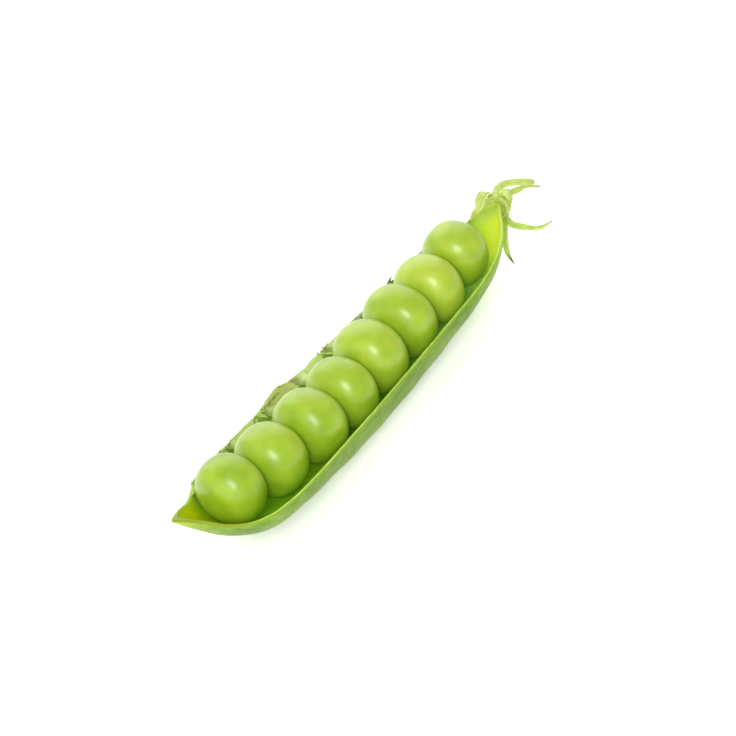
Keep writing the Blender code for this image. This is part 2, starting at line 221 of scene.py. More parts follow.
def seed_coat():
    """Fresh seed coat: smooth, moist and a little see-through, so light spreads under it. It is paler
    toward the stalk, partly its own paleness and partly a painted sheen on that side of the pea,
    palest on the scar of the stalk, and each pea has its own shade, with soft darker patches."""
    material, tree = new_material("fresh_seed_coat")
    place = object_place(tree)
    _, scar = marks(tree)
    # Patches 3.5 mm wide, and mottling 1.2 mm wide.
    patches = cloud(tree, place, 1000 / 3.5, 1.0)
    mottle = cloud(tree, place, 1000 / 1.2, 4.0)
    # The third number of the mark is the pea's own shade, and the patches move it up and down.
    shade = maths(tree, "MULTIPLY_ADD", (patches, "Fac"), 0.7, (scar, "Z"))
    colour = ramp(tree, shade, (0.2, "#7D9E12"), (0.45, "#96B624"), (0.7, "#ABC535"), (0.95, "#BDD046"))
    colour = blend(tree, 0.2, colour, (mottle, "Color"), "SOFT_LIGHT")
    # Paler toward the stalk: partly the seed coat's own paleness there, partly a painted sheen on
    # that side of the pea. Palest on the stalk's scar.
    colour = turning(tree, colour, "#CCDC70", (scar, "X"), 7.5, 1.0, 0.5)
    colour = turning(tree, colour, "#E4E6B4", (scar, "Y"), 1.25, 0.85, 0.9)
    # Cells of the seed coat are far finer than a pixel, so they are drawn 0.3 mm wide.
    cells = cloud(tree, place, 1000 / 0.3, 2.0)
    finish_material(
        tree,
        Base_Color=colour,
        Roughness=fade(tree, (mottle, "Fac"), 0.3, 0.7, 0.32, 0.4, "LINEAR"),
        IOR=1.47,
        Subsurface_Weight=0.3,
        Subsurface_Radius=(0.8, 1.0, 0.15),
        Subsurface_Scale=0.0013,
        Coat_Weight=0.3,
        Coat_Roughness=0.27,
        Normal=relief(tree, (cells, "Fac"), 0.12, 0.00004),
    )
    return material


def piece(name, bm, materials):
    """Puts a bmesh laid out in the pod's frame into the row frame, as one object."""
    bm.transform(TO_FRAME)
    mesh = bpy.data.meshes.new(name)
    bm.to_mesh(mesh)
    bm.free()
    for material in materials:
        mesh.materials.append(material)
    obj = bpy.data.objects.new(name, mesh)
    bpy.context.scene.collection.objects.link(obj)
    return obj


def rolled_skin(name, rows, columns, place, materials, material_of=lambda k: 0):
    """A closed skin of quads in rows, rolled so that each row's last point meets its first.
    place(u, k) gives the point at row share u and column k, and its mark for the material."""
    bm = bmesh.new()
    mark = bm.verts.layers.float_vector.new("mark")
    grid = []
    for i in range(rows + 1):
        grid.append([])
        for k in range(columns):
            point, marked = place(i / rows, k)
            vertex = bm.verts.new(point)
            vertex[mark] = marked
            grid[-1].append(vertex)
    for here, after in zip(grid, grid[1:]):
        for k in range(columns):
            beside = (k + 1) % columns
            face = bm.faces.new((here[k], here[beside], after[beside], after[k]))
            face.material_index = material_of(k)
            face.smooth = True
    bmesh.ops.remove_doubles(bm, verts=bm.verts, dist=1e-4)
    bm.normal_update()
    bmesh.ops.recalc_face_normals(bm, faces=bm.faces)
    return piece(name, bm, materials)


def smooth_between(knots, x):
    """The value at x of a smooth curve through knots, a list of (x, value) in rising order of x."""
    if x <= knots[0][0]:
        return knots[0][1]
    if x >= knots[-1][0]:
        return knots[-1][1]
    i = max(j for j in range(len(knots) - 1) if knots[j][0] <= x)

    def slope(j):
        before, after = max(j - 1, 0), min(j + 1, len(knots) - 1)
        return (knots[after][1] - knots[before][1]) / (knots[after][0] - knots[before][0])

    (x0, y0), (x1, y1) = knots[i], knots[i + 1]
    h = x1 - x0
    t = (x - x0) / h
    return (
        y0 * (1 + 2 * t) * (1 - t) ** 2
        + slope(i) * h * t * (1 - t) ** 2
        + y1 * t**2 * (3 - 2 * t)
        + slope(i + 1) * h * t**2 * (t - 1)
    )


# The valve's outline seen from above: place along the pod, dorsal rim, ventral rim, and depth
# under the rims. The peas need it too, because their stalks come from the ventral rim.
OUTLINE = (
    (-34.0, -8.4, 5.6, 6.2),
    (-32.3, -8.4, 6.3, 6.6),
    (-30.7, -8.4, 7.2, 6.9),
    (-29.0, -8.4, 8.0, 6.9),
    (-24.0, -8.4, 8.5, 6.8),
    (-12.0, -7.7, 9.0, 7.1),
    (2.0, -7.1, 8.8, 7.0),
    (14.0, -6.8, 8.1, 6.7),
    (24.0, -6.7, 7.4, 6.2),
    (30.0, -5.5, 6.7, 5.5),
    (34.0, -3.8, 4.7, 3.7),
    (37.0, -1.9, 3.5, 2.1),
    (39.0, -0.4, 3.1, 1.5),
    (41.2, 0.7, 2.7, 1.3),
)
BLUNT_START = -24.0
BLUNT_END = -36.8
BLUNT_SIDE = 3.4
BLUNT_DORSAL_POWER = 3.4
BLUNT_VENTRAL_START = -34.0
NECK_CLOSES = 1.5
NECK_END = 41.2
NECK_SIDE = 1.7
WALL = 0.85
RIM_WALL = 0.65
RIM_LIP = 0.15
RIM_DROP = 0.15
RIM_FALL = 0.04
RIM_TWIST = 0.0008
RIM_LEVEL_SIDE = -7.0
STRAND_RADIUS = 0.36
# The share of its radius that the strand's middle stands over the rim.
STRAND_SEAT = 0.7
# Each stalk leaves the strand a little nearer the stem than the middle of its pea.
STALK_LEAN = (0.2, 1.0)


def blunt(share, power):
    """The width left at a share of the way into the rounded front end."""
    return max(0.0, 1.0 - min(share, 1.0) ** power) ** (1.0 / power)


def valve_outline(x, inset):
    """The dorsal rim, the ventral rim and the depth of the valve at x, each moved in by the wall."""
    dorsal, ventral, depth = (smooth_between([(row[0], row[i]) for row in OUTLINE], x) for i in (1, 2, 3))
    dorsal += inset * RIM_WALL
    ventral -= inset * RIM_WALL
    depth -= inset * WALL
    if x < BLUNT_START:
        end = BLUNT_END + inset * WALL
        share = (BLUNT_START - x) / (BLUNT_START - end)
        dorsal = BLUNT_SIDE + (dorsal - BLUNT_SIDE) * blunt(share, BLUNT_DORSAL_POWER)
        depth *= blunt(share, 2.0)
        share = max(0.0, (BLUNT_VENTRAL_START - x) / (BLUNT_VENTRAL_START - end))
        ventral = BLUNT_SIDE + (ventral - BLUNT_SIDE) * blunt(share, 2.0)
    closing = NECK_END - inset * WALL - NECK_CLOSES
    if x > closing:
        left = blunt((x - closing) / NECK_CLOSES, 2.0)
        dorsal = NECK_SIDE + (dorsal - NECK_SIDE) * left
        ventral = NECK_SIDE + (ventral - NECK_SIDE) * left
        depth *= left
    return dorsal, ventral, depth


def rim_height(x, y):
    """The height of the rims' plane: level with the peas at the dorsal rim, lower at the ventral."""
    return rise(x) - RIM_DROP - (RIM_FALL + RIM_TWIST * x) * (y - RIM_LEVEL_SIDE)


def strand_point(x):
    """The middle of the seed strand at x: it lies on top of the ventral rim."""
    _, ventral, _ = valve_outline(x, 0.0)
    y = ventral - RIM_WALL / 2
    return Vector((x, y, rim_height(x, y) + RIM_LIP + STRAND_RADIUS * STRAND_SEAT))


leaning = Random(11)
STALK_ROOTS = [strand_point(centre.x + leaning.uniform(*STALK_LEAN)) for centre in CENTRES]

SEED_COAT = seed_coat()
for number, (centre, pea, root) in enumerate(zip(CENTRES, PEAS, STALK_ROOTS), 1):
    radius, half = pea[0], pea[1] + PEA_GAP / 2
    to_stalk = (root - centre).normalized()
    beside_scar = to_stalk.cross(Vector((1.0, 0.0, 0.0))).normalized()

    def pea_point(u, k):
        turn = math.pi * u
        along = math.copysign(abs(math.cos(turn)) ** (2 / PRESSED), -math.cos(turn))
        width = abs(math.sin(turn)) ** (2 / PRESSED) if 0.0 < u < 1.0 else 0.0
        around = 2 * math.pi * k / PEA_SIDES
        reach = Vector((half * along, radius * width * math.cos(around), radius * width * math.sin(around)))
        dent_place = (centre + reach) / PEA_DENT_WIDTH + Vector((0.0, 0.0, PEA_DENT_STEP * number))
        reach *= 1 + PEA_DENT * noise.noise(dent_place) * (1 - along**4) / radius
        from_stalk = radius * reach.angle(to_stalk)
        scar_across = abs(reach.dot(beside_scar)) * SCAR_NARROW
        scar_along = math.sqrt(max(0.0, from_stalk**2 - (scar_across / SCAR_NARROW) ** 2))
        scar = math.hypot(scar_across, scar_along)
        if from_stalk < SCAR_REACH:
            reach *= 1 - SCAR_DEPTH * math.exp(-((scar / SCAR_WIDTH) ** 2)) / radius
        return centre + reach, (from_stalk, scar, pea[4])

    pea_piece = rolled_skin(f"garden_pea_{number}", PEA_RINGS, PEA_SIDES, pea_point, [SEED_COAT])
    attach(pea_piece, "root")
    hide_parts(f"pea_{number}")


# ------------------------------------------------------------------------------------ the pod wall
# One half of the pod, grown in one piece with its beak and neck. Outside is a waxy green skin with
# a net of fine veins, inside a smooth shiny parchment lining, and along both rims the pale split
# edge where the halves came apart. It bulges a little over each pea.
KEEL_POWER = 1.15
HALF_WIDTH = 8.0
PEA_SWELL = 0.3
SWELL_SPREAD = 0.62
BEAK = Vector((-2.4, 0.1, 1.4))
BEAK_REACH = 4.6
FLAT_CUT = 0.25
STATIONS = 280
OUTER_FACES = 48
LIP_FACES = 6
INNER_FACES = 40
RIM_WAVER = 0.07
RIM_WAVER_LENGTH = 2.3
RIM_WAVER_DEPTH = 1.2
# The rims waver less where the pod's half width is under this.
RIM_WAVER_NARROW = 3


def swell(x):
    """How far the sides stand out over the peas at x."""
    return PEA_SWELL * sum(
        math.exp(-(((x - centre.x) / (SWELL_SPREAD * pea[1])) ** 2)) for centre, pea in zip(CENTRES, PEAS)
    )


class Rib:
    """One station of the pod wall: what its outer or inner skin needs at one place along the pod."""

    def __init__(self, share, inset):
        front = BLUNT_END + inset * WALL
        back = NECK_END - inset * WALL
        self.x = front + (back - front) * share
        dorsal, ventral, self.depth = valve_outline(self.x, inset)
        self.middle, self.half = (dorsal + ventral) / 2, (ventral - dorsal) / 2
        self.swell = swell(self.x)
        self.lean = (row_side(self.x) - self.middle) * min(1.0, self.half / HALF_WIDTH)

    def point(self, angle):
        """The skin at an angle, from 0 at the dorsal rim, under the keel, to pi at the ventral."""
        under = max(0.0, math.sin(angle))
        y = self.middle - (self.half + self.swell * under) * math.cos(angle) + self.lean * under**2
        return Vector((self.x, y, rim_height(self.x, y) - self.depth * under**KEEL_POWER))


def wall_columns():
    """Round the section: (angle, share from the outer to the inner skin) over the outer skin, the
    ventral lip, the inner skin and the dorsal lip."""
    lip = [i / LIP_FACES for i in range(1, LIP_FACES)]
    outer = [(math.pi * i / OUTER_FACES, 0.0) for i in range(OUTER_FACES + 1)]
    inner = [(math.pi * (1 - i / INNER_FACES), 1.0) for i in range(INNER_FACES + 1)]
    return outer + [(math.pi, s) for s in lip] + inner + [(0.0, 1 - s) for s in lip]


WALL_COLUMNS = wall_columns()
RIBS = {}
for i in range(STATIONS + 1):
    share = (1 - math.cos(math.pi * i / STATIONS)) / 2
    RIBS[i / STATIONS] = (Rib(share, 0.0), Rib(share, 1.0))
KEEL = min(outer.point(math.pi / 2).z for outer, _ in RIBS.values())
BEAK_ROOT = RIBS[0.0][0].point(0.0)


def wall_point(u, k):
    """The wall's skin, marked with its place along the pod, how far it is from the ventral rim, and
    how far from the nearer rim. On the split edge the last is minus the share of the way inward."""
    angle, inset = WALL_COLUMNS[k]
    outer, inner = (rib.point(angle) for rib in RIBS[u])
    half = RIBS[u][0].half
    point = outer.lerp(inner, inset)
    point.z += RIM_LIP * 4 * inset * (1 - inset)
    from_rim = half * min(angle, math.pi - angle)
    waver = noise.noise(Vector((point.x / RIM_WAVER_LENGTH, angle, 3.0)))
    waver *= math.exp(-((from_rim / RIM_WAVER_DEPTH) ** 2))
    point.z += RIM_WAVER * waver * min(1.0, half / RIM_WAVER_NARROW)
    pull = max(0.0, 1 - (point - BEAK_ROOT).length / BEAK_REACH) ** 2
    point += BEAK * pull
    point.z = max(point.z, KEEL + FLAT_CUT)
    from_ventral = half * (math.pi - angle)
    return point, (point.x, from_ventral, from_rim if inset in (0.0, 1.0) else -inset)


def wall_material(k):
    """0 for the skin, 1 for the split edge and 2 for the lining."""
    if k < OUTER_FACES:
        return 0
    inner_start = OUTER_FACES + LIP_FACES
    return 2 if inner_start <= k < inner_start + INNER_FACES else 1


def waxy_skin():
    """Pod skin: green under a thin whitish wax, matt to satin, with a net of fine raised veins that
    run slantwise from the rims. The wax patches are painted whiter than wax alone, as a painted
    sheen. Paler along the rims, toward the stem and on the beak."""
    material, tree = new_material("waxy_pod_skin")
    mark, place = marks(tree)
    patches = cloud(tree, mark, 1 / 7.0, 3.0)
    colour = ramp(tree, (patches, "Fac"), (0.3, "#53780A"), (0.52, "#648A12"), (0.75, "#789C1E"))
    colour = turning(tree, colour, "#9CC234", (place, "X"), 16.0, 37.0, 0.9)
    colour = turning(tree, colour, "#A9BF26", (place, "X"), -35.5, -38.8, 0.85)
    colour = turning(tree, colour, "#8DB32A", (place, "Z"), 0.7, 0.0, 0.4)
    # The mesh of the veins is 1.1 mm long and half as wide, and lies slantwise.
    slant = stretched(tree, mark, (0.9, 1.7, 0.0), 38)
    warp = cloud(tree, mark, 1.1, 1.0)
    bent = blend(tree, 0.22, slant, (warp, "Color"), "LINEAR_LIGHT")
    net = add(
        tree,
        "ShaderNodeTexVoronoi",
        {"feature": "DISTANCE_TO_EDGE", "voronoi_dimensions": "2D"},
        {"Vector": bent, "Scale": 1.0},
    )
    veins = fade(tree, (net, "Distance"), 0.10, 0.0, 0.0, 1.0)
    colour = blend(tree, maths(tree, "MULTIPLY", veins, 0.18), colour, "#9FBC50")
    # The wax lies in soft patches, and is rubbed off between them. Its patches are painted whiter
    # than wax alone would be, as a painted sheen on the skin.
    wax_and_sheen = cloud(tree, mark, 1 / 2.6, 5.0)
    colour = blend(tree, fade(tree, (wax_and_sheen, "Fac"), 0.38, 0.72, 0.06, 0.36), colour, "#A8B872")
    pores = cloud(tree, mark, 1 / 0.22, 2.0)
    height = maths(tree, "MULTIPLY_ADD", (pores, "Fac"), 0.35, veins)
    finish_material(
        tree,
        Base_Color=colour,
        Roughness=fade(tree, (wax_and_sheen, "Fac"), 0.3, 0.7, 0.42, 0.58, "LINEAR"),
        IOR=1.4,
        Specular_IOR_Level=0.3,
        Subsurface_Weight=0.15,
        Subsurface_Radius=(0.6, 1.0, 0.15),
        Subsurface_Scale=0.0012,
        Normal=relief(tree, height, 0.35, 0.00005),
    )
    return material


def parchment_lining():
    """Lining of the pod: a thin smooth membrane, shiny and wet, deep green where the peas lay and
    yellow-green toward the beak and in the neck. Toward the stem and along the rims it is painted
    paler, as painted light where the peas shade it."""
    material, tree = new_material("parchment_lining")
    mark, place = marks(tree)
    patches = cloud(tree, mark, 1 / 4.0, 3.0)
    colour = ramp(tree, (patches, "Fac"), (0.3, "#93C81C"), (0.7, "#A6D42A"))
    # Paler under the last peas before the neck and along the rims, which is painted light where the
    # peas shade the lining, and paler in the neck, which is its own colour.
    colour = turning(tree, colour, "#C4E670", (place, "X"), 4.0, 20.0, 0.9)
    colour = turning(tree, colour, "#B0DA44", (place, "Z"), 3.0, 0.0, 0.6)
    colour = turning(tree, colour, "#D2E436", (place, "X"), 27.0, 34.0, 0.95)
    # Under the ventral rim lies the pale tissue that the stalks grow from.
    colour = turning(tree, colour, "#B5CB62", (place, "Y"), 4.0, 1.0, 0.8)
    colour = turning(tree, colour, "#BCC602", (place, "X"), -29.0, -34.5, 1.0)
    # Fine fibres run through the parchment slantwise, 0.35 mm apart.
    slant = stretched(tree, mark, (0.25, 2.8, 0.0), 40)
    fibres = cloud(tree, slant, 1.0, 3.0)
    finish_material(
        tree,
        Base_Color=blend(tree, 0.25, colour, (fibres, "Color"), "SOFT_LIGHT"),
        Roughness=0.42,
        IOR=1.4,
        Specular_IOR_Level=0.22,
        Subsurface_Weight=0.5,
        Subsurface_Radius=(0.8, 1.0, 0.15),
        Subsurface_Scale=0.0016,
        Normal=relief(tree, (fibres, "Fac"), 0.3, 0.00005),
    )
    return material


def split_edge():
    """The rim where the halves parted: pale torn tissue with fibres lengthwise, dull and slightly
    moist. It lets light through, and its inner half is painted paler still as that light, so it
    shows brighter than the skin."""
    material, tree = new_material("split_suture_edge")
    mark, place = marks(tree)
    fibres = cloud(tree, stretched(tree, mark, (0.35, 4.0, 4.0)), 1.6, 4.0)
    pale = ramp(tree, (fibres, "Fac"), (0.3, "#8FB62E"), (0.5, "#AECF4A"), (0.7, "#DDED92"))
    # The outer half of the edge is still skin. The inner half is pale torn tissue, painted paler
    # still as painted light, palest where the lining ends.
    colour = turning(tree, "#7FA628", pale, (place, "Z"), -0.05, -0.5, 1.0)
    # The edge turns yellow-green round the neck, and olive near the beak.
    colour = turning(tree, colour, "#CADC50", (place, "X"), 24.0, 35.0, 0.8)
    colour = turning(tree, colour, "#8F9C14", (place, "X"), -31.5, -36.0, 0.85)
    finish_material(
        tree,
        Base_Color=colour,
        Roughness=0.42,
        IOR=1.4,
        Specular_IOR_Level=0.3,
        Subsurface_Weight=0.3,
        Subsurface_Radius=(0.7, 1.0, 0.25),
        Subsurface_Scale=0.001,
        Normal=relief(tree, (fibres, "Fac"), 0.4, 0.00006),
    )
    return material


wall_skins = [waxy_skin(), split_edge(), parchment_lining()]
wall = rolled_skin("pod_wall", STATIONS, len(WALL_COLUMNS), wall_point, wall_skins, wall_material)
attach(wall, "root")
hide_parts("valve")


# --------------------------------------------------------------------------------- the seed strand
# The bundle of fibres that strings the ventral suture. It stays on this half's rim, with the stalk
# of each pea grown out of it: a flat foot on the strand, a waist, and a pad pressed on the pea.
# Torn fibres stand off it, dried brown at their ends.
STRAND_START = -32.5
STRAND_END = 32.0
STRAND_SIDES = 20
STRAND_ROWS = 300
# The cord sways aside and up over these lengths, and swells and thins along another.
CORD_SWAY = 0.12
CORD_SWAY_ASIDE = 1.9
CORD_SWAY_UP = 2.4
CORD_GROOVE = 0.1
CORD_MEAN = 0.9
CORD_UNEVEN = 0.35
CORD_UNEVEN_LENGTH = 3.1
CORD_FLATNESS = 0.85
CORD_END = 0.15
WEB_REACH = 1.2
WEB_DROOP = 0.35
WEB_RAGGED = 0.4
WEB_RAGGED_LENGTH = 1.1
WEB_THINNING = 0.55
WEB_NOTCHES = (-29.5, -21.0, -13.4, -11.2, 2.5, 12.0, 19.0, 21.5)
NOTCH_WIDTH = 0.7
# The stalks hold the web's edge back where the cord bows.
WEB_HELD = 0.7
BOW = Vector((0.0, 0.4, 0.7))
BOW_MIDDLE = -7.8
BOW_SPREAD = 2.7
# The stalks: (share of the way to the pea, half width along the strand, half thickness).
STALK_FORM = (
    (-0.1, 2.1, 0.2),
    (0.08, 1.8, 0.28),
    (0.35, 1.35, 0.34),
    (0.6, 1.1, 0.38),
    (0.85, 1.15, 0.42),
    (1.0, 1.35, 0.4),
    (1.12, 1.25, 0.3),
)
STALK_SIDES = 16
STALK_ROWS = 22
STALK_SINK = 0.05
STALK_RAGGED = 0.25
# How fast a stalk's ragged edge changes toward the pea, round the stalk, and from one to the next.
STALK_RAGGED_STEPS = (3, 1.3, 3.0)
# The torn fibres stand in tufts where the strand was pulled hard, most of them on its inner side:
# (middle of the tuft, its half width, how many fibres, how far they lean outward, longest fibre,
# how dry they are). The mark of a dry fibre starts at 10.
TUFTS = (
    (-29.5, 1.8, 5, -0.5, 0.8, 10.0),
    (-21.5, 2.2, 14, -0.6, 1.1, 10.0),
    (-12.0, 2.6, 18, -0.7, 1.2, 10.0),
    (-5.5, 1.5, 4, -0.4, 0.8, 9.8),
    (3.0, 1.1, 8, -0.05, 1.3, 9.3),
    (12.0, 1.8, 9, -0.3, 0.9, 10.0),
    (19.2, 0.75, 30, -0.1, 1.7, 10.0),
    (26.0, 1.8, 5, -0.3, 0.9, 9.8),
)
# The least and the most of each draw for a fibre: how it leans aside, along and up, how it curls
# along, aside and up, its share of the longest, and its half thickness.
LEAN_ASIDE = (-0.35, 0.35)
LEAN_ALONG = (-0.8, 0.8)
LEAN_UP = (0.2, 1.2)
CURL_ALONG = (-0.6, 0.6)
CURL_ASIDE = (-0.5, 0.1)
CURL_UP = (-0.7, 0.2)
FIBRE_SHARE = (0.4, 1.0)
FIBRE_THICK = (0.06, 0.12)
# A tuft's fibres are thicker by this much for each millimetre of its longest.
FIBRE_THICK_BASE = 0.5
FIBRE_THICKENS = 0.7
# Along a fibre: (share of its length, share of its thickness).
FIBRE_TAPER = ((0.0, 1.3), (0.2, 1.0), (0.4, 0.85), (0.6, 0.7), (0.8, 0.5), (1.0, 0.2))
FIBRE_SIDES = 6


def bow(x):
    """How far the strand bows off the rim, where it has come loose between the third and fourth
    pea."""
    return BOW * math.exp(-(((x - BOW_MIDDLE) / BOW_SPREAD) ** 2))


def tube_skin(name, route, radii, sides, materials, mark_x):
    """A tapered tube along a route; its ends are left open."""
    rows = len(route) - 1
    up = Vector((0.0, 0.0, 1.0))

    def place(u, k):
        i = round(u * rows)
        ahead = (route[min(i + 1, rows)] - route[max(i - 1, 0)]).normalized()
        side = ahead.cross(up).normalized()
        over = side.cross(ahead)
        angle = 2 * math.pi * k / sides
        point = route[i] + side * (radii[i] * math.cos(angle)) + over * (radii[i] * math.sin(angle))
        return point, (mark_x + u, angle, radii[i])

    return rolled_skin(name, rows, sides, place, materials)


def fibre_cord():
    """Vascular fibre: pale straw green, dull, with strands lengthwise. It has browned in spots and
    over one stretch, and has greyed over another, where it was bruised."""
    material, tree = new_material("suture_fibre")
    place = object_place(tree)
    _, split = marks(tree)
    stretches = ramp(
        tree, (split, "X"),
        (0.0, "#AEC85C"), (0.12, "#9DBB48"), (0.3, "#A9C655"), (0.35, "#ABAB4C"), (0.41, "#B2B254"),
        (0.44, "#BCD675"), (0.6, "#B6D26A"), (0.65, "#8EA468"), (0.71, "#93A86C"), (0.75, "#B4D066"),
        (1.0, "#B8D25C"),
    )
    fibres = cloud(tree, stretched(tree, place, (300.0, 4500.0, 4500.0)), 1.0, 4.0)
    pale = ramp(tree, (fibres, "Fac"), (0.25, "#8FAE45"), (0.5, "#B5CE6E"), (0.8, "#D8E5A4"))
    colour = blend(tree, 0.6, pale, stretches)
    spots = cloud(tree, place, 1000 / 2.6, 5.0)
    colour = turning(tree, colour, "#7C7A32", (spots, "Fac"), 0.56, 0.7, 0.7)
    # The outer side of the cord, where the angle round it is half a turn, has darkened in the air.
    facing_peas = maths(tree, "COSINE", (split, "Y"))
    colour = turning(tree, colour, "#6C7C2C", facing_peas, 0.1, -0.8, 0.6)
    colour = turning(tree, colour, "#4E5220", (split, "X"), 10.2, 11.0, 0.9)
    finish_material(
        tree,
        Base_Color=colour,
        Roughness=0.55,
        IOR=1.45,
        Subsurface_Weight=0.2,
        Subsurface_Radius=(0.7, 1.0, 0.3),
        Subsurface_Scale=0.0006,
        Normal=relief(tree, (fibres, "Fac"), 0.5, 0.00008),
    )
    return material


def join(first, *others):
    """Makes one mesh object of several."""
    bm = bmesh.new()
    for obj in (first, *others):
        bm.from_mesh(obj.data)
    bm.to_mesh(first.data)
    bm.free()
    for obj in others:
        bpy.data.objects.remove(obj)
    return first


def strand_section(u, k):
    """The cord, with a thin web on its inner side that droops toward the peas. The web is torn away
    in notches."""
    x = STRAND_START + (STRAND_END - STRAND_START) * u
    sway_aside = noise.noise(Vector((x / CORD_SWAY_ASIDE, 0.0, 0.0)))
    sway_up = noise.noise(Vector((x / CORD_SWAY_UP, 5.0, 0.0)))
    ends = min(1.0, CORD_END + math.sin(math.pi * u) ** 0.5) if 0.0 < u < 1.0 else 0.0
    angle = 2 * math.pi * k / STRAND_SIDES
    grooved = 1 + CORD_GROOVE * math.cos(angle * (STRAND_SIDES // 2))
    uneven = CORD_MEAN + CORD_UNEVEN * noise.noise(Vector((x / CORD_UNEVEN_LENGTH, 9.0, 0.0)))
    radius = STRAND_RADIUS * ends * grooved * uneven
    torn = sum(math.exp(-(((x - notch) / NOTCH_WIDTH) ** 2)) for notch in WEB_NOTCHES)
    ragged = 1 + WEB_RAGGED * noise.noise(Vector((x / WEB_RAGGED_LENGTH, 2.0, 0.0)))
    web = WEB_REACH * ends * max(0.0, 1 - torn) * ragged
    inward = max(0.0, math.cos(angle))
    y = radius * math.cos(angle) + web * inward**2
    thinned = radius * CORD_FLATNESS * math.sin(angle) * (1 - WEB_THINNING * inward)
    z = thinned - WEB_DROOP * web * inward**2
    middle = strand_point(x) + Vector((0.0, sway_aside, sway_up)) * CORD_SWAY
    return middle + bow(x) * (1 - WEB_HELD * inward) + Vector((0.0, -y, z)), (u, angle, radius)


FIBRE = fibre_cord()
strand = rolled_skin("seed_strand_and_stalks", STRAND_ROWS, STRAND_SIDES, strand_section, [FIBRE])
stalks = []
for number, (centre, pea, root) in enumerate(zip(CENTRES, PEAS, STALK_ROOTS), 1):
    tip = centre + (root - centre).normalized() * (pea[0] - STALK_SINK)
    toward = tip - root
    along_strand = (strand_point(root.x + 0.5) - strand_point(root.x - 0.5)).normalized()
    across = toward.cross(along_strand).normalized()

    def stalk_point(u, k):
        at = STALK_FORM[0][0] + (STALK_FORM[-1][0] - STALK_FORM[0][0]) * u
        wide, thick = (smooth_between([(row[0], row[i]) for row in STALK_FORM], at) for i in (1, 2))
        if u in (0.0, 1.0):
            wide = thick = 0.0
        angle = 2 * math.pi * k / STALK_SIDES
        ragged_place = Vector([a * b for a, b in zip((at, math.cos(angle), number), STALK_RAGGED_STEPS)])
        ragged = 1 + STALK_RAGGED * noise.noise(ragged_place)
        reach = wide * ragged * math.cos(angle)
        point = root + toward * at + along_strand * reach + across * (thick * ragged * math.sin(angle))
        # The pad of the stalk curves round its pea.
        point += toward.normalized() * (max(0.0, at) * reach**2 / (2 * pea[0]))
        return point, ((point.x - STRAND_START) / (STRAND_END - STRAND_START), angle, wide)

    stalks.append(rolled_skin(f"stalk_{number}", STALK_ROWS, STALK_SIDES, stalk_point, [FIBRE]))

fraying = Random(23)
fibres = []
for middle, spread, count, outward, longest, dryness in TUFTS:
    for _ in range(count):
        x = middle + fraying.uniform(-spread, spread)
        start = strand_point(x) + bow(x)
        aside = outward + fraying.uniform(*LEAN_ASIDE)
        lean = Vector((fraying.uniform(*LEAN_ALONG), aside, fraying.uniform(*LEAN_UP)))
        curl = Vector([fraying.uniform(*span) for span in (CURL_ALONG, CURL_ASIDE, CURL_UP)])
        length = longest * fraying.uniform(*FIBRE_SHARE)
        route = [start + (lean * s + curl * s * s) * length for s, _ in FIBRE_TAPER]
        thick = fraying.uniform(*FIBRE_THICK) * (FIBRE_THICK_BASE + FIBRE_THICKENS * longest)
        radii = [thick * taper for _, taper in FIBRE_TAPER]
        fibres.append(tube_skin(f"fibre_{len(fibres)}", route, radii, FIBRE_SIDES, [FIBRE], dryness))
join(strand, *stalks, *fibres)
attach(strand, "root")
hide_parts("seed_strand")


# --------------------------------------------------------------------------------------- the calyx
# What is left of the flower's cup: a soft ribbed cup round the pod's neck with five narrow sepals
# grown out of its rim. They have wilted and curled, and some tips have dried dark.
CUP_SIDE = 1.6
CUP_HEIGHT = 1.1
CUP_MOUTH = 40.2
CUP_SLANT = 0.6
CUP_OUTER = 2.15
CUP_FLATNESS = 0.78
CUP_WALL = 0.45
CUP_FLOOR = 41.6
CUP_BACK = 43.2
CUP_BACK_RADIUS = 0.85
CUP_BACK_SHIFT = Vector((0.0, 1.0, 1.1))
# The cup is filled by the pale tissue that the neck grows out of, up to just inside its mouth.
CUP_FILLING = 40.5
# From the middle of the filling over the mouth to the middle of the back: (radius, place along the
# pod, slant).
CUP_PROFILE = (
    (0.0, CUP_FILLING, CUP_SLANT),
    (CUP_OUTER - 2.2 * CUP_WALL, CUP_FILLING, CUP_SLANT),
    (CUP_OUTER - 1.4 * CUP_WALL, CUP_FILLING - 0.05, CUP_SLANT),
    (CUP_OUTER - CUP_WALL, CUP_MOUTH + 0.1, CUP_SLANT),
    (CUP_OUTER - CUP_WALL / 2, CUP_MOUTH - 0.05, CUP_SLANT),
    (CUP_OUTER, CUP_MOUTH + 0.1, CUP_SLANT),
    (CUP_OUTER, CUP_FLOOR - CUP_WALL, 0.0),
    (CUP_OUTER * 0.85, CUP_FLOOR + CUP_WALL * 0.5, 0.0),
    (CUP_BACK_RADIUS * 1.35, (CUP_FLOOR + 2 * CUP_BACK) / 3, 0.0),
    (CUP_BACK_RADIUS, CUP_BACK, 0.0),
    (0.0, CUP_BACK, 0.0),
)
CUP_ROWS = 60
CUP_SIDES = 60
CUP_RIBS = 10
CUP_RIB_HEIGHT = 0.05
CUP_VEINS = 0.25
# The share of the profile where its outer side starts.
CUP_OUTSIDE = 0.45
